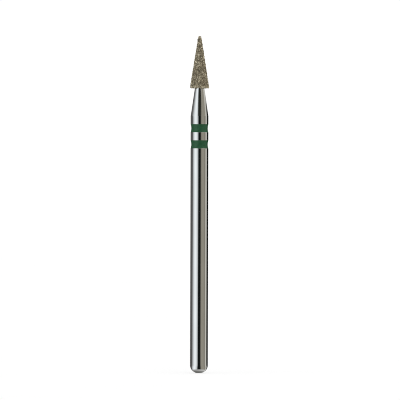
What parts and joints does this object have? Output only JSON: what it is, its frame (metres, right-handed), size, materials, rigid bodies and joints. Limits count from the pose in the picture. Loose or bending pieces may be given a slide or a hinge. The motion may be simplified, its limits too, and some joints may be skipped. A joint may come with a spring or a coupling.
{
  "type": "dental bur",
  "caption": "Dental laboratory bur: straight handpiece shank with rounded end and green grade bands, narrowed neck and a tapered diamond-coated grinding head.",
  "frame": {"origin": "centre of the shank's end face, the end that goes into the handpiece", "axes": "+Z along the bur's axis towards the tip of the head; X and Y are alike, because it is round"},
  "size_m": [0.0025, 0.0026, 0.0445],
  "materials": {
    "ground_steel": "gloss",
    "diamond_grit": "matte",
    "green_lacquer": "satin"
  },
  "bodies": {
    "root": {"steel_blank": "ground_steel", "diamond_coat": "diamond_grit", "upper_green_band": "green_lacquer", "lower_green_band": "green_lacquer"}
  },
  "joints": []
}
